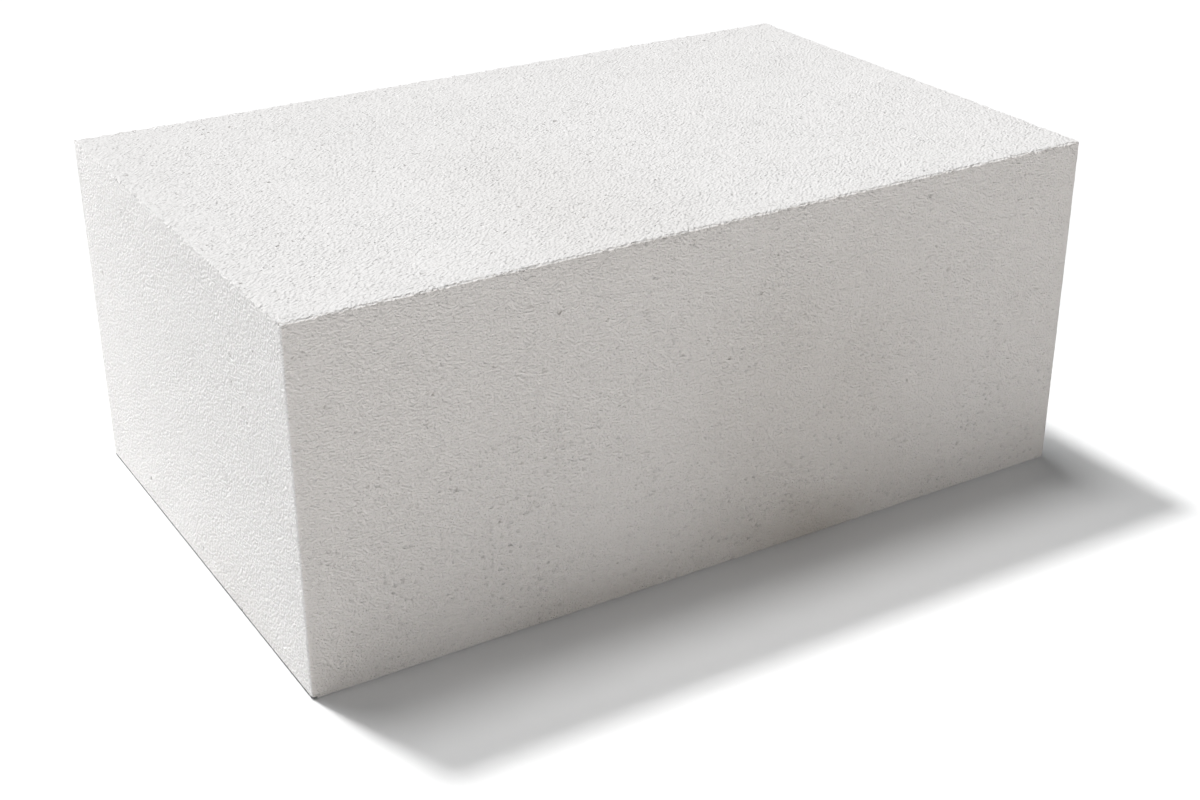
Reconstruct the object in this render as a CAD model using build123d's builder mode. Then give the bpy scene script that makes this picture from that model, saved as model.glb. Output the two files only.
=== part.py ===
from build123d import *
import os

# Solid wall block of autoclaved aerated concrete, sawn plain on all six faces.
# Millimetres, +Z up. The origin is at the centre of the bottom bed face, with X
# along the length of the wall and Y through its thickness.

# Driving dimensions
block_length = 600.0  # between the two head faces
block_width = 375.0  # between the two wall faces, the thickness of the wall
block_height = 250.0  # between the two bed faces, one course of the wall
upright_arris_radius = 2.0  # the four upright arrises, rubbed softly round
bed_arris_radius = 1.5  # the arrises around the two bed faces, a little crisper

with BuildPart() as aerated_concrete_block:
    # The bed outline stands up by one course, as one piece with no cavity
    with BuildSketch(Plane.XY):
        Rectangle(block_length, block_width)
    extrude(amount=block_height)

    # The upright arrises come first, so that the rounding of the bed arrises
    # runs on around the corners without a break
    fillet(aerated_concrete_block.edges().filter_by(Axis.Z), radius=upright_arris_radius)
    bed_faces = aerated_concrete_block.faces().filter_by(Axis.Z)
    fillet(bed_faces.edges(), radius=bed_arris_radius)

aerated_concrete_block.part.label = "aerated_concrete_block"

os.makedirs("parts", exist_ok=True)
export_step(aerated_concrete_block.part, "parts/aerated_concrete_block.step")
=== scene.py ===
"""A solid aerated concrete wall block, dressed around its CAD frame, on a pale studio floor."""

import math

import bpy
import numpy as np
from bpy.props import FloatProperty, FloatVectorProperty, IntProperty, PointerProperty
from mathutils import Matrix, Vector


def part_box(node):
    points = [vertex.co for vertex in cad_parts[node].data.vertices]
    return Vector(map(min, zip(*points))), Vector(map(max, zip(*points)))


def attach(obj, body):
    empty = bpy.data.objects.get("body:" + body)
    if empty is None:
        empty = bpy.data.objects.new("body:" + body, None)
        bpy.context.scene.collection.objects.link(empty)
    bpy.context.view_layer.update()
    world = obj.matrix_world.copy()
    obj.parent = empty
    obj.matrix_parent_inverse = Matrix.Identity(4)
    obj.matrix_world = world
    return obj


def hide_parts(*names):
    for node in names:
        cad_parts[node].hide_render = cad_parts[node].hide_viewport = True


bl_info = {
    "name": "Aerated Concrete Block",
    "version": (1, 0, 0),
    "blender": (4, 5, 0),
    "location": "3D Viewport > Sidebar > Block",
    "description": "Models a sawn aerated concrete wall block and the studio that shows it",
    "category": "Add Mesh",
}

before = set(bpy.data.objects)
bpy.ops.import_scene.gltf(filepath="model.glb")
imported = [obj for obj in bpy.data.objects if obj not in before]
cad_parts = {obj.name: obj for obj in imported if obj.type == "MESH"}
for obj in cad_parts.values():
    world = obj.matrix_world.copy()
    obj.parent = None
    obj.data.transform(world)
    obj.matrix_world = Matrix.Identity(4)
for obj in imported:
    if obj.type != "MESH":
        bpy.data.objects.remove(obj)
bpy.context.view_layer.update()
block_low, block_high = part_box("aerated_concrete_block")
MM = 0.001


class BlockSettings(bpy.types.PropertyGroup):
    """Sizes and colours of the block's sawn faces, arrises and pores."""

    upright_radius: FloatProperty(
        name="Upright arris radius",
        description="Rounding of the four upright arrises",
        default=2.2 * MM,
        subtype="DISTANCE",
        unit="LENGTH",
    )
    bed_radius: FloatProperty(
        name="Bed arris radius",
        description="Rounding of the arrises around the two bed faces",
        default=0.7 * MM,
        subtype="DISTANCE",
        unit="LENGTH",
    )
    arris_reach: FloatProperty(
        name="Arris reach",
        description="How far the crumbling runs from an arris into the faces",
        default=2.6 * MM,
        subtype="DISTANCE",
        unit="LENGTH",
    )
    crumb_size: FloatProperty(
        name="Crumb size",
        description="Width of one crumb of an arris",
        default=2.4 * MM,
        subtype="DISTANCE",
        unit="LENGTH",
    )
    crumb_depth: FloatProperty(
        name="Crumb depth",
        description="How deep the crumbs break into the top arrises",
        default=1.15 * MM,
        subtype="DISTANCE",
        unit="LENGTH",
    )
    ledge_width: FloatProperty(
        name="Ledge width",
        description="Width of the broken ledge along the top arrises of the wall faces",
        default=2.4 * MM,
        subtype="DISTANCE",
        unit="LENGTH",
    )
    ledge_depth: FloatProperty(
        name="Ledge depth",
        description="How far the broken ledge lies below the top bed",
        default=0.9 * MM,
        subtype="DISTANCE",
        unit="LENGTH",
    )
    saw_unevenness: FloatProperty(
        name="Saw unevenness",
        description="How far the sawn faces wander from a plane",
        default=0.12 * MM,
        subtype="DISTANCE",
        unit="LENGTH",
    )
    face_step: FloatProperty(
        name="Face step",
        description="Longest mesh edge in the middle of a face",
        default=12.0 * MM,
        subtype="DISTANCE",
        unit="LENGTH",
    )
    arris_step: FloatProperty(
        name="Arris step",
        description="Mesh edge along the crumbled top arrises",
        default=0.75 * MM,
        subtype="DISTANCE",
        unit="LENGTH",
    )
    soft_arris_step: FloatProperty(
        name="Soft arris step",
        description="Mesh edge along the other arrises",
        default=1.5 * MM,
        subtype="DISTANCE",
        unit="LENGTH",
    )
    pore_density: FloatProperty(
        name="Pore density",
        description="Open pores on a square metre of sawn face in the fuller clusters",
        default=2400.0,
    )
    pore_radius: FloatProperty(
        name="Largest pore radius",
        description="Radius of the largest air bubbles that the saw cut open",
        default=2.4 * MM,
        subtype="DISTANCE",
        unit="LENGTH",
    )
    small_pore_radius: FloatProperty(
        name="Smallest pore radius",
        description="Radius of the smallest air bubbles that are modelled",
        default=1.1 * MM,
        subtype="DISTANCE",
        unit="LENGTH",
    )
    grain_size: FloatProperty(
        name="Grain size",
        description="Width of one grain of the sawn surface",
        default=1.8 * MM,
        subtype="DISTANCE",
        unit="LENGTH",
    )
    grain_depth: FloatProperty(
        name="Grain depth",
        description="Depth of the granular relief, made as bump",
        default=1.05 * MM,
        subtype="DISTANCE",
        unit="LENGTH",
    )
    concrete_colour: FloatVectorProperty(
        name="Concrete colour",
        description="Colour of the clean sawn faces",
        default=(0.886, 0.872, 0.864),
        subtype="COLOR",
    )
    # Painted shade: the wall faces are darker and warmer than the sawn faces
    shaded_wall_colour: FloatVectorProperty(
        name="Wall face colour",
        description="Colour of the two wall faces, a little warmer than the sawn ones",
        default=(0.790, 0.750, 0.721),
        subtype="COLOR",
    )
    # Painted shade in the hollows between the grains and in the fine pits, and the colour of the
    # darker speckle
    hollow_shade_and_speckle_colour: FloatVectorProperty(
        name="Hollow colour",
        description="Colour in the hollows between the grains",
        default=(0.66, 0.64, 0.62),
        subtype="COLOR",
    )
    # Painted shade inside the open pores, the soft dimples and the backs of the broken ledge
    pore_shade_colour: FloatVectorProperty(
        name="Pore colour",
        description="Colour inside the open pores",
        default=(0.56, 0.53, 0.50),
        subtype="COLOR",
    )
    # Faint stains, a darkening towards the foot of the wall faces, and painted shade low at the
    # front of the left end face
    stain_and_shade_colour: FloatVectorProperty(
        name="Stain colour",
        description="Colour of the faint stains, deepest at the foot of the wall faces",
        default=(0.50, 0.45, 0.40),
        subtype="COLOR",
    )
    # Painted contact shadow: a dark line along the foot arris of the left end face
    contact_shadow_colour: FloatVectorProperty(
        name="Foot colour",
        description="Colour of the dirty arris along the foot of the left end face",
        default=(0.16, 0.16, 0.16),
        subtype="COLOR",
    )
    roughness: FloatProperty(
        name="Roughness",
        description="Roughness of the sawn faces",
        default=0.93,
    )
    seed: IntProperty(
        name="Seed",
        description="Which arrangement of pores is made",
        default=11,
    )


class StudioSettings(bpy.types.PropertyGroup):
    """Where the camera stands and how the studio is lit."""

    camera_place: FloatVectorProperty(
        name="Camera place",
        description="Where the camera stands",
        default=(-0.6305, -1.0669, 0.6617),
        subtype="TRANSLATION",
        unit="LENGTH",
    )
    camera_turn: FloatVectorProperty(
        name="Camera turn",
        description="Pitch, roll and heading of the camera",
        default=(math.radians(63.60), math.radians(0.12), math.radians(-31.42)),
        subtype="EULER",
        unit="ROTATION",
    )
    camera_lens: FloatProperty(
        name="Camera lens",
        description="Focal length in millimetres for a 36 mm wide sensor",
        default=55.27,
    )
    key_direction: FloatVectorProperty(
        name="Key direction",
        description="From the block towards the key light, above, behind and a little to the left",
        default=(-0.128, 0.423, 0.90),
        subtype="DIRECTION",
    )
    key_strength: FloatProperty(
        name="Key strength",
        description="Strength of the key light",
        default=2.06,
    )
    key_spread: FloatProperty(
        name="Key spread",
        description="Angle that the key light fills, which softens the shadow's outline",
        default=math.radians(6.0),
        subtype="ANGLE",
        unit="ROTATION",
    )
    top_direction: FloatVectorProperty(
        name="Top direction",
        description="From the block towards the soft top light, which deepens the inner shadow",
        default=(-0.05, 0.22, 0.975),
        subtype="DIRECTION",
    )
    top_strength: FloatProperty(
        name="Top strength",
        description="Strength of the soft top light",
        default=1.10,
    )
    top_spread: FloatProperty(
        name="Top spread",
        description="Angle that the soft top light fills",
        default=math.radians(14.5),
        subtype="ANGLE",
        unit="ROTATION",
    )
    rake_direction: FloatVectorProperty(
        name="Rake direction",
        description="From the block towards the weak light that rakes the top bed from the left",
        default=(-0.90, 0.12, 0.42),
        subtype="DIRECTION",
    )
    rake_strength: FloatProperty(
        name="Rake strength",
        description="Strength of the raking light",
        default=0.25,
    )
    rake_spread: FloatProperty(
        name="Rake spread",
        description="Angle that the raking light fills",
        default=math.radians(20.0),
        subtype="ANGLE",
        unit="ROTATION",
    )
    front_direction: FloatVectorProperty(
        name="Front direction",
        description="From the block towards the weak light in front, above and to the left",
        default=(-0.55, -0.70, 0.45),
        subtype="DIRECTION",
    )
    front_strength: FloatProperty(
        name="Front strength",
        description="Strength of the weak light in front",
        default=0.25,
    )
    front_spread: FloatProperty(
        name="Front spread",
        description="Angle that the weak light in front fills",
        default=math.radians(20.0),
        subtype="ANGLE",
        unit="ROTATION",
    )
    card_height: FloatProperty(
        name="Card height",
        description="Height of the low light cards, which stand no higher than the block",
        default=0.24,
        subtype="DISTANCE",
        unit="LENGTH",
    )
    side_card_place: FloatVectorProperty(
        name="Side card place",
        description="Where the low light card on the left stands",
        default=(-0.90, 0.70, 0.125),
        subtype="TRANSLATION",
        unit="LENGTH",
    )
    side_card_width: FloatProperty(
        name="Side card width",
        description="Width of the card on the left",
        default=0.5,
        subtype="DISTANCE",
        unit="LENGTH",
    )
    side_card_power: FloatProperty(
        name="Side card power",
        description="Power of the card on the left in watts",
        default=2.5,
    )
    front_card_place: FloatVectorProperty(
        name="Front card place",
        description="Where the low light card in front stands",
        default=(-0.25, -2.45, 0.125),
        subtype="TRANSLATION",
        unit="LENGTH",
    )
    front_card_width: FloatProperty(
        name="Front card width",
        description="Width of the card in front",
        default=1.6,
        subtype="DISTANCE",
        unit="LENGTH",
    )
    front_card_power: FloatProperty(
        name="Front card power",
        description="Power of the card in front in watts",
        default=10.7,
    )
    sky_strength: FloatProperty(
        name="Sky strength",
        description="Strength of the even light from all around",
        default=0.045,
    )
    sky_colour: FloatVectorProperty(
        name="Sky colour",
        description="Colour of the even light, a little cool",
        default=(0.82, 0.93, 1.0),
        subtype="COLOR",
    )
    floor_colour: FloatVectorProperty(
        name="Floor colour",
        description="Colour of the floor in the light that it sends back to the block",
        default=(0.80, 0.80, 0.80),
        subtype="COLOR",
    )
    backdrop_colour: FloatVectorProperty(
        name="Backdrop colour",
        description="Colour of the floor and the backdrop as the camera sees them",
        default=(1.0, 1.0, 1.0),
        subtype="COLOR",
    )


class Field:
    """A value that changes from place to place: one output socket, with Python's operators."""

    def __init__(self, nodes, socket):
        self.nodes = nodes
        self.socket = socket

    def maths(self, operation, *values):
        return self.nodes.add("ShaderNodeMath", {"operation": operation}, dict(enumerate(values)))

    def __add__(self, other):
        return self.maths("ADD", self, other)

    def __radd__(self, other):
        return self.maths("ADD", other, self)

    def __sub__(self, other):
        return self.maths("SUBTRACT", self, other)

    def __rsub__(self, other):
        return self.maths("SUBTRACT", other, self)

    def __mul__(self, other):
        return self.maths("MULTIPLY", self, other)

    def __rmul__(self, other):
        return self.maths("MULTIPLY", other, self)

    def __truediv__(self, other):
        return self.maths("DIVIDE", self, other)

    def __rtruediv__(self, other):
        return self.maths("DIVIDE", other, self)

    def __pow__(self, other):
        return self.maths("POWER", self, other)

    def __gt__(self, other):
        return self.maths("GREATER_THAN", self, other)

    def lower(self, other):
        return self.maths("MINIMUM", self, other)

    def higher(self, other):
        return self.maths("MAXIMUM", self, other)

    def rise(self, start, end):
        """0 up to start, 1 from end on, and a smooth step between. End may lie before start."""
        return self.nodes.add(
            "ShaderNodeMapRange",
            {"interpolation_type": "SMOOTHSTEP"},
            {"Value": self, "From Min": start, "From Max": end},
        )


class Nodes:
    """Adds nodes to one shader tree or geometry tree, and links them by their sockets' names."""

    def __init__(self, tree):
        self.tree = tree

    def add(self, kind, settings=None, inputs=None, output=None):
        """Makes a node. Its settings come first, because they decide which sockets it has."""
        node = self.tree.nodes.new(kind)
        for name, value in (settings or {}).items():
            setattr(node, name, value)
        for name, value in (inputs or {}).items():
            socket = self.find(node.inputs, name)
            if isinstance(value, Field):
                self.tree.links.new(value.socket, socket)
            else:
                socket.default_value = value
        if not node.outputs:
            return node
        return Field(self, self.find(node.outputs, output or 0))

    def find(self, sockets, name):
        """A socket in use by its name, or by its number among those in use."""
        used = [socket for socket in sockets if socket.enabled]
        if isinstance(name, int):
            return used[name]
        return next(socket for socket in used if socket.name == name)

    def vector(self, operation, *values):
        return self.add("ShaderNodeVectorMath", {"operation": operation}, dict(enumerate(values)))

    def scaled(self, vector, factor):
        return self.add(
            "ShaderNodeVectorMath", {"operation": "SCALE"}, {"Vector": vector, "Scale": factor}
        )

    def length(self, vector):
        return self.add("ShaderNodeVectorMath", {"operation": "LENGTH"}, {0: vector}, "Value")

    def blend(self, share, start, end):
        """A colour from start to end as share goes from 0 to 1."""
        colours = {"Factor": share, "A": start, "B": end}
        return self.add("ShaderNodeMix", {"data_type": "RGBA"}, colours)

    def noise(self, place, width, detail=2.0, roughness=0.5):
        """Cloudy noise from 0 to 1 whose lumps are about as wide as given."""
        inputs = {"Vector": place, "Scale": 1 / width, "Detail": detail, "Roughness": roughness}
        return self.add("ShaderNodeTexNoise", None, inputs)

    def cells(self, place, width, output="Distance"):
        """Packed round cells about as wide as given: the distance to the nearest middle."""
        inputs = {"Vector": place, "Scale": 1 / width}
        return self.add("ShaderNodeTexVoronoi", None, inputs, output)

    def chance(self, place, width):
        """A number from 0 to 1 by chance, the same all over each cell about as wide as given."""
        drawn = self.cells(place, width, "Color")
        return self.add("ShaderNodeSeparateXYZ", None, {"Vector": drawn}, "X")


def colour(rgb):
    """A colour socket's value from three numbers."""
    return (*rgb, 1.0)


def face_distances(nodes, place):
    """How far a place is from the nearest of the two faces across X, across Y and across Z."""
    middle = (block_low + block_high) / 2
    half = (block_high - block_low) / 2
    from_middle = nodes.vector("ABSOLUTE", nodes.vector("SUBTRACT", place, tuple(middle)))
    distances = nodes.vector("SUBTRACT", tuple(half), from_middle)
    split = nodes.add("ShaderNodeSeparateXYZ", None, {"Vector": distances}).socket.node
    return [Field(nodes, output) for output in split.outputs]


def sunk_depth(nodes, place):
    """How deep a place lies under the sawn face."""
    x, y, z = face_distances(nodes, place)
    return x.lower(y).lower(z)


def arris_distance(nodes, place):
    """How far a place is from the nearest arris: the middle one of its three face distances."""
    x, y, z = face_distances(nodes, place)
    return x.lower(y).higher(x.higher(y).lower(z))


def height_up_block(nodes, place):
    """Metres above the floor."""
    return nodes.add("ShaderNodeSeparateXYZ", None, {"Vector": place}, "Z")


def from_left_end(nodes, place):
    """Metres to the right of the left end face."""
    return nodes.add("ShaderNodeSeparateXYZ", None, {"Vector": place}, "X") - block_low.x


def deselect_all():
    bpy.ops.object.select_all(action="DESELECT")


def apply_modifiers(piece):
    """Applies the active piece's modifiers in their order."""
    for name in [modifier.name for modifier in piece.modifiers]:
        bpy.ops.object.modifier_apply(modifier=name)


def read_numbers(items, name, width, kind=float):
    """One property of many mesh items as an array with a row each."""
    found = np.empty(len(items) * width, kind)
    items.foreach_get(name, found)
    return found.reshape(-1, width)


def start_block():
    """A cube primitive of the block's size."""
    deselect_all()
    bpy.ops.mesh.primitive_cube_add(
        size=1.0, location=(block_low + block_high) / 2, scale=block_high - block_low
    )
    block = bpy.context.object
    block.name = block.data.name = "weathered_block"
    bpy.ops.object.transform_apply(location=True, rotation=True, scale=True)
    return block


def cut_finer(block, settings):
    """Subdivides the long edges until they suit their place: fine at an arris, coarse inside."""
    middle = np.array((block_low + block_high) / 2)
    half = np.array((block_high - block_low) / 2)
    crumbling_height = 1.5 * settings.arris_reach
    # How fast the steps grow away from an arris, and how far an edge may exceed its step
    growth = 0.6
    allowance = 1.5
    bpy.context.tool_settings.mesh_select_mode = (False, True, False)
    while True:
        mesh = block.data
        ends = read_numbers(mesh.vertices, "co", 3)[read_numbers(mesh.edges, "vertices", 2, int)]
        lengths = np.linalg.norm(ends[:, 0] - ends[:, 1], axis=1)
        distances = np.sort(half - np.abs(ends - middle), axis=2)[:, :, 1].min(1)
        from_top = (block_high.z - ends[:, :, 2]).min(1)
        at_top = from_top < crumbling_height
        step = np.where(at_top, settings.arris_step, settings.soft_arris_step)
        grown = step + growth * np.maximum(distances - settings.arris_reach, 0)
        chosen = lengths > allowance * np.minimum(grown, settings.face_step)
        if not chosen.any():
            return
        mesh.vertices.foreach_set("select", np.zeros(len(mesh.vertices), bool))
        mesh.polygons.foreach_set("select", np.zeros(len(mesh.polygons), bool))
        mesh.edges.foreach_set("select", chosen)
        bpy.ops.object.mode_set(mode="EDIT")
        bpy.ops.mesh.subdivide(number_cuts=1, ngon=False)
        bpy.ops.object.mode_set(mode="OBJECT")


def new_modifier_tree(name):
    """An empty geometry tree with one geometry in and one out."""
    tree = bpy.data.node_groups.new(name, "GeometryNodeTree")
    tree.is_modifier = True
    for way in ("INPUT", "OUTPUT"):
        tree.interface.new_socket("Geometry", in_out=way, socket_type="NodeSocketGeometry")
    return tree


def out_of_core(nodes, place, margin):
    """The way from the core that lies a margin inside the block out to a place."""
    core = Vector(margin)
    held = nodes.vector("MAXIMUM", place, tuple(block_low + core))
    held = nodes.vector("MINIMUM", held, tuple(block_high - core))
    return nodes.vector("SUBTRACT", place, held)


def round_arrises(nodes, mesh, settings):
    """Rounds the sharp arrises: wide on the uprights and tight around the beds."""
    place = nodes.add("GeometryNodeInputPosition")
    wide, tight = settings.upright_radius, settings.bed_radius
    sideways = out_of_core(nodes, place, (wide, wide, 0.0))
    upwards = out_of_core(nodes, place, (0.0, 0.0, tight))
    side_length = nodes.length(sideways)
    # How far a place stands out of a core that lies the tight radius inside the uprights
    side_excess = (side_length - (wide - tight)).higher(0.0)
    side_part = nodes.scaled(nodes.vector("NORMALIZE", sideways), side_excess)
    out = nodes.vector("ADD", side_part, upwards)
    surplus = 1.0 - (tight / nodes.length(out)).lower(1.0)
    moved = nodes.scaled(out, surplus * -1.0)
    return nodes.add("GeometryNodeSetPosition", None, {"Geometry": mesh, "Offset": moved})


def break_ledge(nodes, mesh, settings):
    """Sinks a narrow, broken ledge into the arrises between the top bed and the wall faces."""
    place = nodes.add("GeometryNodeInputPosition")
    notch_size = 3 * MM
    gap_size = 5 * MM
    least_width = 0.8 * MM
    fade = 3.5 * settings.ledge_depth
    across = face_distances(nodes, place)[1]
    width = nodes.noise(place, notch_size, 2.0).rise(0.20, 0.80) * settings.ledge_width
    broken = nodes.noise(place, gap_size, 2.0).rise(0.36, 0.50)
    share = (across / (width + least_width)).rise(1.1, 0.9) * broken
    share = share * height_up_block(nodes, place).rise(block_high.z - fade, block_high.z)
    sunk = nodes.scaled((0.0, 0.0, -1.0), share * settings.ledge_depth)
    return nodes.add("GeometryNodeSetPosition", None, {"Geometry": mesh, "Offset": sunk})


def crumble_arrises(nodes, mesh, settings):
    """Moves the surface inwards: crumbs off the arrises, most on the top ones, and saw marks."""
    place = nodes.add("GeometryNodeInputPosition")
    reach = settings.arris_reach
    # The core lies twice as deep as the crumbling goes, so that nothing folds over at an arris
    outwards = nodes.vector("NORMALIZE", out_of_core(nodes, place, (2 * reach,) * 3))

    distance = arris_distance(nodes, place)
    ragged = 0.5 + nodes.noise(place, 2 * settings.crumb_size, 2.0)
    near = (distance / ragged).rise(reach, 0.2 * reach)
    top = height_up_block(nodes, place).rise(block_high.z - 3 * reach, block_high.z - 2 * reach)
    least = 0.22
    amount = least + (1.0 - least) * top
    fine_size = 0.55 * settings.crumb_size
    chip_size = 6 * settings.crumb_size
    crumbs = nodes.chance(place, settings.crumb_size) ** 2.0
    fine_crumbs = nodes.chance(place, fine_size) ** 2.0
    chips = nodes.noise(place, chip_size, 1.0).rise(0.50, 0.72)
    depth = (crumbs * 0.4 + fine_crumbs * 0.3 + chips * crumbs) * amount * near
    saw_wave = 60 * MM
    saw = nodes.noise(place, saw_wave, 2.0) * settings.saw_unevenness
    moved = nodes.scaled(outwards, (depth * settings.crumb_depth + saw) * -1.0)
    return nodes.add("GeometryNodeSetPosition", None, {"Geometry": mesh, "Offset": moved})


def scatter_bubbles(nodes, mesh, wanted, most, apart, radii, lifts, seed):
    """Round bubbles at points on a mesh, as a mesh, to be cut out as open pores."""
    scattered = nodes.add(
        "GeometryNodeDistributePointsOnFaces",
        {"distribute_method": "POISSON"},
        {
            "Mesh": mesh,
            "Distance Min": apart,
            "Density Max": most,
            "Density Factor": wanted,
            "Seed": seed,
        },
    ).socket.node
    points = Field(nodes, scattered.outputs["Points"])
    normal = Field(nodes, scattered.outputs["Normal"])

    def chance(number, low=0.0, high=1.0):
        inputs = {"Min": low, "Max": high, "Seed": seed + number}
        return nodes.add("FunctionNodeRandomValue", {"data_type": "FLOAT"}, inputs)

    smallest, largest = radii
    radius = smallest + chance(1) ** 3.0 * (largest - smallest)
    # Each bubble's middle stands a little outside the face, so that no pore is undercut
    lifted = nodes.scaled(normal, radius * chance(2, *lifts))
    points = nodes.add("GeometryNodeSetPosition", None, {"Geometry": points, "Offset": lifted})
    turns = {"Min": (0.0,) * 3, "Max": (math.tau,) * 3, "Seed": seed + 3}
    turn = nodes.add("FunctionNodeRandomValue", {"data_type": "FLOAT_VECTOR"}, turns)
    stretches = {"Min": (0.65,) * 3, "Max": (1.3,) * 3, "Seed": seed + 4}
    stretch = nodes.add("FunctionNodeRandomValue", {"data_type": "FLOAT_VECTOR"}, stretches)
    bubble = nodes.add("GeometryNodeMeshIcoSphere", None, {"Radius": 1.0, "Subdivisions": 2})
    bubbles = nodes.add(
        "GeometryNodeInstanceOnPoints",
        None,
        {
            "Points": points,
            "Instance": bubble,
            "Rotation": turn,
            "Scale": nodes.scaled(stretch, radius),
        },
    )
    bubbles = nodes.add("GeometryNodeRealizeInstances", None, {"Geometry": bubbles})
    place = nodes.add("GeometryNodeInputPosition")
    dent_size = 1.5 * MM
    dent_depth = 1.6 * MM
    noise = {"Vector": place, "Scale": 1 / dent_size, "Detail": 0.0}
    dents = nodes.add("ShaderNodeTexNoise", None, noise, "Color")
    uneven = nodes.scaled(nodes.vector("SUBTRACT", dents, (0.5,) * 3), dent_depth)
    return nodes.add("GeometryNodeSetPosition", None, {"Geometry": bubbles, "Offset": uneven})


def face_bubbles(nodes, mesh, settings):
    """Bubbles all over the faces, in clusters."""
    place = nodes.add("GeometryNodeInputPosition")
    reach = settings.arris_reach
    inside = arris_distance(nodes, place).rise(0.5 * reach, 1.5 * reach)
    cluster_size = 45 * MM
    apart = 3.0 * MM
    clusters = nodes.noise(place, cluster_size, 3.0).rise(0.38, 0.72) * 0.5 + 0.15
    radii = (settings.small_pore_radius, settings.pore_radius)
    lifts = (0.60, 0.85)
    most = 2.2 * settings.pore_density
    wanted = clusters * inside
    return scatter_bubbles(nodes, mesh, wanted, most, apart, radii, lifts, settings.seed)


def weather_block(block, settings):
    """Crumbles the arrises and opens the pores with one geometry modifier, and applies it."""
    nodes = Nodes(new_modifier_tree("sawn_and_worn"))
    mesh = nodes.add("NodeGroupInput")
    mesh = round_arrises(nodes, mesh, settings)
    mesh = break_ledge(nodes, mesh, settings)
    mesh = crumble_arrises(nodes, mesh, settings)
    opened = nodes.add(
        "GeometryNodeMeshBoolean",
        {"operation": "DIFFERENCE", "solver": "MANIFOLD"},
        {"Mesh 1": mesh, "Mesh 2": face_bubbles(nodes, mesh, settings)},
    )
    nodes.add("NodeGroupOutput", None, {"Geometry": opened})
    modifier = block.modifiers.new("sawn_and_worn", "NODES")
    modifier.node_group = nodes.tree
    apply_modifiers(block)


def lay_out_map(block):
    """A UV map with the six faces side by side, so that a bake keeps the pattern sharp."""
    mesh = block.data
    size = np.array(block_high - block_low)
    low = np.array(block_low)
    gap = 6 * MM
    arris_strip = 4 * MM
    # The axes that run along each face's u and v, by the axis that the face looks along
    # and its side, with the place of its corner in the layout
    length, width, height = size
    column = length + gap
    places = {
        (2, 1): (0, 1, 0.0, 0.0),
        (2, 0): (0, 1, 0.0, width + gap),
        (1, 0): (0, 2, 0.0, 2 * (width + gap)),
        (1, 1): (2, 0, column, 0.0),
        (0, 0): (2, 1, column, length + gap),
        (0, 1): (2, 1, column + height + gap, 0.0),
    }
    whole = np.array([length + 2 * (height + gap), 2 * (width + gap) + height])
    centres = read_numbers(mesh.polygons, "center", 3)
    normals = read_numbers(mesh.polygons, "normal", 3)
    offsets = (centres - low - size / 2) / (size / 2)
    depths = (1 - np.abs(offsets)) * size / 2
    # Inside a face its own plane counts, and near an arris the way the surface looks
    inside = np.sort(depths, axis=1)[:, 1] > arris_strip
    axis = np.where(inside, depths.argmin(1), np.abs(normals).argmax(1))
    rows = np.arange(len(axis))
    side = np.where(inside, offsets[rows, axis] > 0, normals[rows, axis] > 0).astype(int)

    corners = read_numbers(mesh.loops, "vertex_index", 1, int)[:, 0]
    points = read_numbers(mesh.vertices, "co", 3)[corners] - low
    counts = read_numbers(mesh.polygons, "loop_total", 1, int)[:, 0]
    face_of_corner = np.repeat(rows, counts)
    uv = np.zeros((len(corners), 2))
    for (along, end), (u_axis, v_axis, u_start, v_start) in places.items():
        here = ((axis == along) & (side == end))[face_of_corner]
        uv[here] = points[here][:, [u_axis, v_axis]] + (u_start, v_start)
    layer = mesh.uv_layers.new(name="OFBake")
    border = 0.004
    layer.uv.foreach_set("vector", (border + (1 - 2 * border) * uv / whole).ravel())


def wall_face_share(nodes, place):
    """1 on the two wall faces, across Y, and 0 on the others."""
    x, y, z = face_distances(nodes, place)
    return (x.lower(z) - y).rise(-1.0 * MM, 1.0 * MM)


def end_face_share(nodes, place):
    """1 on the two end faces, across X, and 0 on the others."""
    x, y, z = face_distances(nodes, place)
    return (y.lower(z) - x).rise(-1.0 * MM, 1.0 * MM)


def soft_mark(nodes, place, middle, reach):
    """1 in the middle of a stain, and 0 beyond its reach along each axis, in millimetres."""
    offset = nodes.vector("SUBTRACT", place, tuple(MM * value for value in middle))
    offset = nodes.vector("DIVIDE", offset, tuple(MM * value for value in reach))
    return nodes.length(offset).rise(1.0, 0.0)


def stain_and_shade_share(nodes, place, wall):
    """How much of the stain colour shows: darker towards the foot of the wall faces, in a few soft
    stain marks, and as painted shade low at the front of the left end face.
    """
    cloud_size = 55 * MM
    foot_height = 75 * MM
    foot_strength = 0.16
    torn = 0.5 + nodes.noise(place, cloud_size, 3.0)
    foot = height_up_block(nodes, place).rise(foot_height, 0.0) * wall * foot_strength
    share = foot * torn
    # The middle of each mark and its reach along each axis in millimetres, and its strength
    for middle, reach, strength in (
        ((-95, -187, 0), (110, 30, 34), 0.30),
        ((72, -187, 0), (75, 30, 50), 0.45),
        ((70, -187, 60), (170, 30, 260), 0.30),
        ((-60, 187, 0), (140, 30, 45), 0.30),
        ((150, 187, 20), (90, 30, 120), 0.15),
        # Painted shade: the left end face darker towards its front foot
        ((-300, -70, 0), (30, 120, 60), 0.12),
        ((-65, -120, 250), (110, 220, 30), 0.10),
    ):
        share = share + soft_mark(nodes, place, middle, reach) * torn * strength
    return share.lower(1.0)


def drawn_out_place(nodes, place):
    """The place as the saw drew the grains out: slantwise on the beds, level on the uprights."""
    return nodes.add(
        "ShaderNodeMapping",
        {"vector_type": "TEXTURE"},
        {
            "Vector": place,
            "Rotation": (0.0, 0.0, math.radians(33)),
            "Scale": (1.4, 0.95, 0.95),
        },
    )


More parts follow.
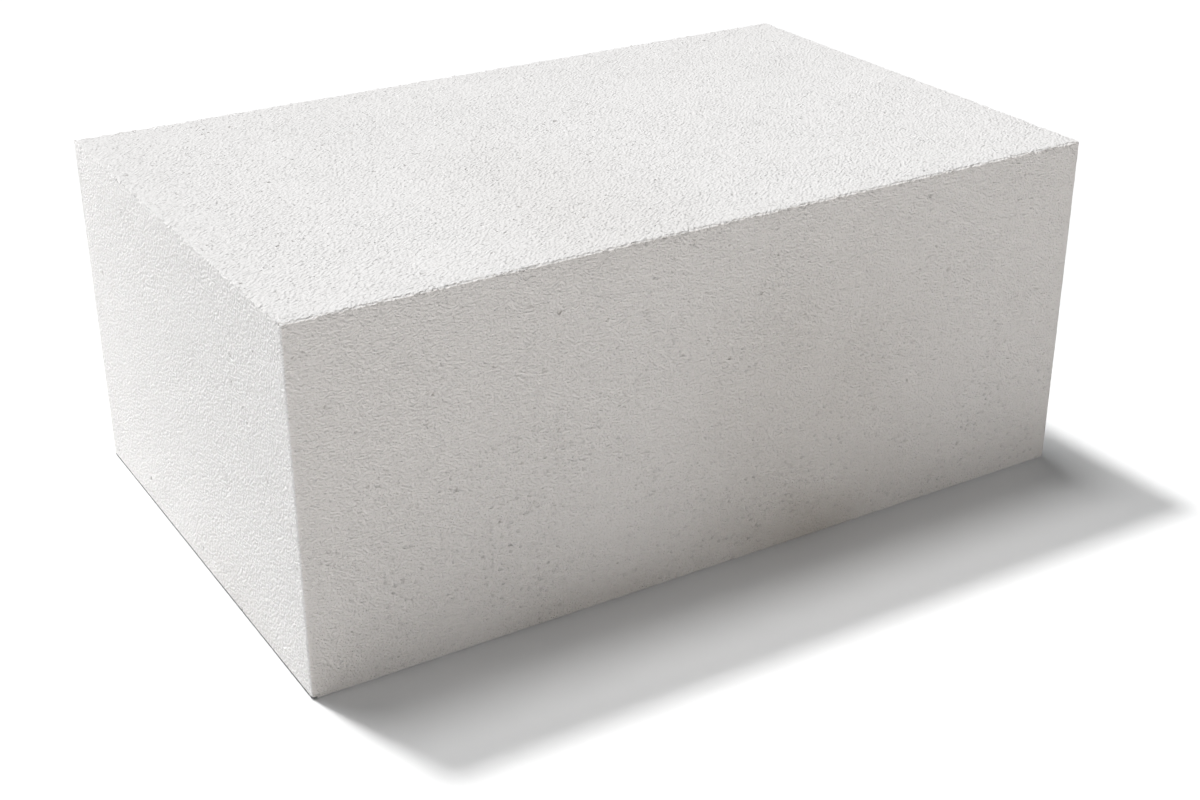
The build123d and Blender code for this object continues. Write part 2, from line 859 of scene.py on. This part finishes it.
def grain_relief(nodes, laid, wall, grain_size):
    """The height of the grains: lumps and gaps, and smaller, softer lumps on the wall faces."""
    gap = nodes.cells(laid, 1.2 * grain_size)
    coarse = nodes.noise(laid, grain_size, 1.0, 0.3) * 1.4 - gap * gap * 0.4
    fine = nodes.noise(laid, 0.75 * grain_size, 1.0, 0.3) * 1.4
    return coarse + (fine - coarse) * wall


def torn_share(nodes, place, wall):
    """How far the saw tore the grains out: in patches, less on the walls, more on the ends."""
    patch_size = 60 * MM
    patches = nodes.noise(place, patch_size, 3.0)
    end = end_face_share(nodes, place)
    return (0.8 + 0.7 * patches) * (1.0 - 0.12 * wall) * (1.0 + 0.5 * end)


def fine_pits(nodes, place):
    """1 in the fine pits, too small to be modelled, and 0 between them."""
    spacing = 2.6 * MM
    # The share of the cells that have no pit
    left_out = 0.77
    round_pit = nodes.cells(place, spacing).rise(0.36, 0.12)
    return round_pit * (nodes.chance(place, spacing) > left_out)


def soft_dimples(nodes, place, laid, wall):
    """Soft round dimples, in patches, most low on the wall faces, which the material dents and
    gives painted shade.
    """
    spacing = 4 * MM
    # The share of the cells that have no mark
    left_out = 0.42
    patch_size = 50 * MM
    marked_height = 0.2
    marks = nodes.cells(laid, spacing).rise(0.38, 0.14) * (nodes.chance(laid, spacing) > left_out)
    low_down = height_up_block(nodes, place).rise(marked_height, 0.0)
    share = 0.4 + (0.35 + 0.65 * low_down) * wall
    return marks * nodes.noise(place, patch_size, 2.0).rise(0.30, 0.60) * share


def pore_shade_share(nodes, place, sunk):
    """1 inside the open pores, which get painted shade, and 0 on the faces and near the arrises.
    """
    arris = arris_distance(nodes, place)
    return sunk.rise(0.15 * MM, 0.6 * MM) * arris.rise(2.0 * MM, 4.0 * MM)


def ledge_back_shade_share(nodes, place, sunk):
    """1 on the steep back of the broken ledge, which gets painted shade, and 0 on the pale ledge
    itself.
    """
    patch_size = 3 * MM
    steep = sunk.rise(0.25 * MM, 0.45 * MM) * sunk.rise(0.78 * MM, 0.6 * MM)
    near_wall_face = face_distances(nodes, place)[1].rise(5.0 * MM, 4.0 * MM)
    at_top = height_up_block(nodes, place) > block_high.z - 2.0 * MM
    return steep * near_wall_face * at_top * nodes.chance(place, patch_size) ** 0.5


def contact_shadow_share(nodes, place):
    """1 on the foot arris of the left end face, where a dark line of painted contact shadow lies,
    and 0 elsewhere.
    """
    near_left_end = from_left_end(nodes, place).rise(4.0 * MM, 3.0 * MM)
    near_floor = height_up_block(nodes, place).rise(2.1 * MM, 1.5 * MM)
    return near_floor * near_left_end


def concrete_material(settings):
    """Pale sawn aerated concrete: grains, fine pits and faint stains, with painted shade on the
    wall faces, in the hollows, pores, dimples and ledge backs, and a painted contact shadow along
    the left end's foot.
    """
    material = bpy.data.materials.new("aerated_concrete")
    material.use_nodes = True
    # With this correction on, light that rakes a face leaves its grains out
    material.cycles.use_bump_map_correction = False
    material.node_tree.nodes.clear()
    nodes = Nodes(material.node_tree)
    place = nodes.add("ShaderNodeTexCoord", output="Object")
    sunk = sunk_depth(nodes, place)
    wall = wall_face_share(nodes, place)
    calm = 1.0 - 0.35 * wall

    laid = drawn_out_place(nodes, place)
    relief = grain_relief(nodes, laid, wall, settings.grain_size)
    speckle = nodes.noise(laid, 0.5 * settings.grain_size, 1.0)
    pits = fine_pits(nodes, place)
    marks = soft_dimples(nodes, place, laid, wall)
    grains = relief * torn_share(nodes, place, wall)
    height = grains * 0.96 - pits * calm * 0.6 - marks * 0.5
    bump = {"Strength": 1.0, "Distance": settings.grain_depth, "Height": height}

    # Painted shade in the low parts of the grain relief and in the fine pits, plus a darker
    # speckle of random tone
    hollow_shade_and_speckle = relief.rise(0.60, 0.30) * 0.15 + speckle.rise(0.55, 0.30) * 0.35 + pits * 0.6
    # The wall faces take a darker, warmer colour than the sawn faces: painted shade
    surface = nodes.blend(wall, colour(settings.concrete_colour), colour(settings.shaded_wall_colour))
    # Each colour lies over the ones before it: stains, then painted shade in the hollows and
    # dimples, a painted contact shadow, and painted shade in the pores and on the ledge backs
    for share, shade in (
        (stain_and_shade_share(nodes, place, wall), settings.stain_and_shade_colour),
        (hollow_shade_and_speckle.lower(1.0) * calm * 0.8, settings.hollow_shade_and_speckle_colour),
        (marks * 0.34, settings.pore_shade_colour),
        (contact_shadow_share(nodes, place) * 0.95, settings.contact_shadow_colour),
        (pore_shade_share(nodes, place, sunk) * 0.5, settings.pore_shade_colour),
        (ledge_back_shade_share(nodes, place, sunk), settings.pore_shade_colour),
    ):
        surface = nodes.blend(share, surface, colour(shade))
    shader = nodes.add(
        "ShaderNodeBsdfPrincipled",
        None,
        {
            "Base Color": surface,
            "Roughness": settings.roughness,
            "Specular IOR Level": 0.25,
            "Normal": nodes.add("ShaderNodeBump", None, bump),
        },
    )
    nodes.add("ShaderNodeOutputMaterial", None, {"Surface": shader})
    return material


def turn_towards(direction):
    """The turn of a lamp that shines on the block from this direction."""
    return Vector(direction).to_track_quat("Z", "Y").to_euler()


def backdrop_share(nodes):
    """1 for what is seen, directly or reflected, and 0 for the light that reaches the block."""
    rays = nodes.add("ShaderNodeLightPath").socket.node
    camera, glossy, through = (
        Field(nodes, rays.outputs[name])
        for name in ("Is Camera Ray", "Is Glossy Ray", "Is Transmission Ray")
    )
    return camera.higher(glossy).higher(through)


def floor_material(settings):
    """Matt white floor: pale in the light that it sends on, and plain white to the camera."""
    material = bpy.data.materials.new("studio_floor")
    material.use_nodes = True
    material.node_tree.nodes.clear()
    nodes = Nodes(material.node_tree)
    shade = nodes.blend(
        backdrop_share(nodes), colour(settings.floor_colour), colour(settings.backdrop_colour)
    )
    shader = nodes.add("ShaderNodeBsdfDiffuse", None, {"Color": shade})
    nodes.add("ShaderNodeOutputMaterial", None, {"Surface": shader})
    return material


class OBJECT_OT_weathered_block(bpy.types.Operator):
    """Models the block's sawn faces, crumbled arrises and open pores"""

    bl_idname = "object.weathered_block"
    bl_label = "Aerated Concrete Block"

    def execute(self, context):
        settings = context.scene.block_settings
        block = start_block()
        cut_finer(block, settings)
        weather_block(block, settings)
        bpy.ops.object.shade_smooth_by_angle(angle=math.radians(38))
        lay_out_map(block)
        block.data.materials.clear()
        block.data.materials.append(concrete_material(settings))
        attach(block, "root")
        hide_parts("aerated_concrete_block")
        return {"FINISHED"}


def add_sun(name, direction, strength, spread):
    """A far lamp that shines on the block from this direction."""
    bpy.ops.object.light_add(type="SUN", rotation=turn_towards(direction))
    lamp = bpy.context.object
    lamp.name = name
    lamp.data.energy = strength
    lamp.data.angle = spread


def add_card(name, place, width, height, power):
    """An upright light card that faces the block and isn't seen itself."""
    facing = turn_towards((place[0], place[1], 0.0))
    bpy.ops.object.light_add(type="AREA", location=place, rotation=facing)
    lamp = bpy.context.object
    lamp.name = name
    lamp.visible_camera = False
    lamp.data.energy = power
    lamp.data.shape = "RECTANGLE"
    lamp.data.size = width
    lamp.data.size_y = height


def sky_world(settings):
    """Weak, even light from all around, and plain white to the camera."""
    world = bpy.data.worlds.new("studio_sky")
    world.use_nodes = True
    world.node_tree.nodes.clear()
    nodes = Nodes(world.node_tree)
    light = {"Color": colour(settings.sky_colour), "Strength": settings.sky_strength}
    white = {"Color": colour(settings.backdrop_colour), "Strength": 1.0}
    sky = nodes.add("ShaderNodeBackground", None, light)
    backdrop = nodes.add("ShaderNodeBackground", None, white)
    shares = {0: backdrop_share(nodes), 1: sky, 2: backdrop}
    both = nodes.add("ShaderNodeMixShader", None, shares)
    nodes.add("ShaderNodeOutputWorld", None, {"Surface": both})
    return world


class SCENE_OT_block_studio(bpy.types.Operator):
    """Sets up the pale floor, the soft lights and the camera"""

    bl_idname = "scene.block_studio"
    bl_label = "Block Studio"

    def execute(self, context):
        settings = context.scene.studio_settings
        scene = context.scene
        scene.view_settings.view_transform = "Standard"
        scene.world = sky_world(settings)

        deselect_all()
        floor_size = 60.0
        bpy.ops.mesh.primitive_plane_add(size=floor_size)
        floor = context.object
        floor.name = "studio_floor"
        floor.data.materials.append(floor_material(settings))

        bpy.ops.object.camera_add(location=settings.camera_place, rotation=settings.camera_turn)
        scene.camera = context.object
        scene.camera.data.lens = settings.camera_lens
        scene.camera.data.clip_end = 200.0

        add_sun("key_light", settings.key_direction, settings.key_strength, settings.key_spread)
        add_sun("top_light", settings.top_direction, settings.top_strength, settings.top_spread)
        add_sun(
            "rake_light", settings.rake_direction, settings.rake_strength, settings.rake_spread
        )
        add_sun(
            "front_light", settings.front_direction, settings.front_strength, settings.front_spread
        )
        add_card(
            "side_card",
            settings.side_card_place,
            settings.side_card_width,
            settings.card_height,
            settings.side_card_power,
        )
        add_card(
            "front_card",
            settings.front_card_place,
            settings.front_card_width,
            settings.card_height,
            settings.front_card_power,
        )
        return {"FINISHED"}


class VIEW3D_PT_block(bpy.types.Panel):
    """Lists the block's operators and settings in the sidebar"""

    bl_label = "Aerated Concrete Block"
    bl_idname = "VIEW3D_PT_block"
    bl_space_type = "VIEW_3D"
    bl_region_type = "UI"
    bl_category = "Block"

    def draw(self, context):
        for operator, settings in (
            (OBJECT_OT_weathered_block, context.scene.block_settings),
            (SCENE_OT_block_studio, context.scene.studio_settings),
        ):
            self.layout.operator(operator.bl_idname)
            for name in settings.__annotations__:
                self.layout.prop(settings, name)


CLASSES = (
    BlockSettings,
    StudioSettings,
    OBJECT_OT_weathered_block,
    SCENE_OT_block_studio,
    VIEW3D_PT_block,
)


def register():
    for kind in CLASSES:
        bpy.utils.register_class(kind)
    bpy.types.Scene.block_settings = PointerProperty(type=BlockSettings)
    bpy.types.Scene.studio_settings = PointerProperty(type=StudioSettings)


def unregister():
    del bpy.types.Scene.studio_settings
    del bpy.types.Scene.block_settings
    for kind in reversed(CLASSES):
        bpy.utils.unregister_class(kind)


def main():
    register()
    bpy.ops.scene.block_studio()
    bpy.ops.object.weathered_block()


if __name__ == "__main__":
    main()
